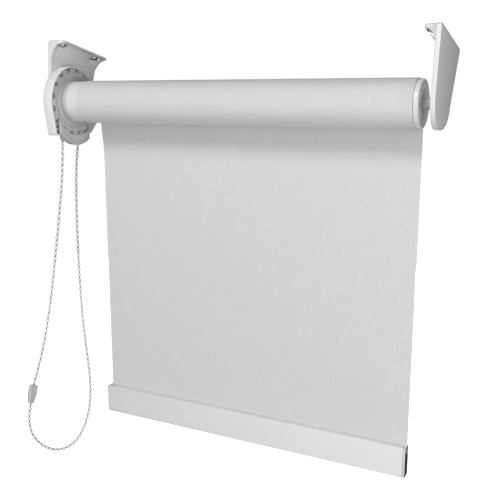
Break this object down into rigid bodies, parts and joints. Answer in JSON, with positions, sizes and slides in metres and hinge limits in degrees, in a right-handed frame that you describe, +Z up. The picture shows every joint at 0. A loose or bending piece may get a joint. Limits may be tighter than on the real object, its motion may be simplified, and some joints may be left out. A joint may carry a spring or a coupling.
{
  "type": "roller blind",
  "caption": "Small roller blind with a side chain control, a clutch, a spring-loaded idle pin, leaning ceiling brackets and a flat hem bar.",
  "frame": {"origin": "on the control bracket's ceiling face, above the roller and midway along the flange", "axes": "+X along the roller from the control side to the idle side, +Y towards the window, +Z up"},
  "size_m": [0.4442, 0.1296, 0.4815],
  "materials": {
    "bracket_plastic": "smooth white moulding",
    "housing_plastic": "glossy white moulding",
    "grey_plastic": "satin light grey moulding",
    "dark_plastic": "glass filled black",
    "cap_plastic": "satin white moulding",
    "tube_aluminium": "white powder coat",
    "hem_aluminium": "satin white powder coat",
    "tape": "translucent adhesive tape",
    "fabric": "coated basket weave",
    "screw_steel": "zinc plated",
    "spring_steel": "drawn spring wire",
    "chain_plastic": "white beads on a cord",
    "connector_plastic": "translucent white clip"
  },
  "bodies": {
    "brackets": {"control_bracket": "bracket_plastic", "control_bracket_screw_front": "screw_steel", "control_bracket_screw_back": "screw_steel", "idle_bracket": "bracket_plastic", "idle_bracket_screw_front": "screw_steel", "idle_bracket_screw_back": "screw_steel", "clutch_housing": "housing_plastic", "chain_guard": "grey_plastic", "clutch_core": "dark_plastic", "core_washer": "screw_steel", "core_screw": "screw_steel", "clutch_bolt": "screw_steel", "chain_over_sprocket": "chain_plastic", "chain_front": "chain_plastic", "chain_back": "chain_plastic", "chain_connector": "connector_plastic"},
    "chain_wheel": {"sprocket": "grey_plastic", "wrap_spring_1": "spring_steel", "wrap_spring_2": "spring_steel"},
    "roller": {"drive_sleeve": "grey_plastic", "roller_tube": "tube_aluminium", "fabric_tape": "tape", "fabric_roll": "fabric", "idle_end_plug": "housing_plastic", "pin_bush": "grey_plastic", "pin_spring": "spring_steel"},
    "pin": {"idle_pin": "grey_plastic"},
    "hem": {"fabric_sheet": "fabric", "hem_bar": "hem_aluminium", "hem_spline": "grey_plastic", "hem_cap_control": "cap_plastic", "hem_cap_idle": "cap_plastic"}
  },
  "joints": [
    {"name": "roller_spin", "type": "hinge", "parent": "brackets", "child": "roller", "pos_m": [0, -0.01268, -0.05967], "axis": [1, 0, 0], "range_deg": [0, 742.5]},
    {"name": "chain_wheel_spin", "type": "hinge", "parent": "brackets", "child": "chain_wheel", "pos_m": [0, -0.01268, -0.05967], "axis": [1, 0, 0], "range_deg": [0, 743]},
    {"name": "hem_lift", "type": "slide", "parent": "brackets", "child": "hem", "axis": [0, 0, 1], "range_m": [0, 0.3005], "deforming": ["fabric_sheet"]},
    {"name": "pin_slide", "type": "slide", "parent": "brackets", "child": "pin", "axis": [-1, 0, 0], "range_m": [0, 0.008], "stiffness_N_per_m": 600, "springref_m": -0.008, "deforming": ["pin_spring"]}
  ],
  "couplings": [
    {"joint": "chain_wheel_spin", "follows": "roller_spin", "ratio": 1},
    {"joint": "hem_lift", "follows": "roller_spin", "m_per_rad": 0.02313}
  ]
}
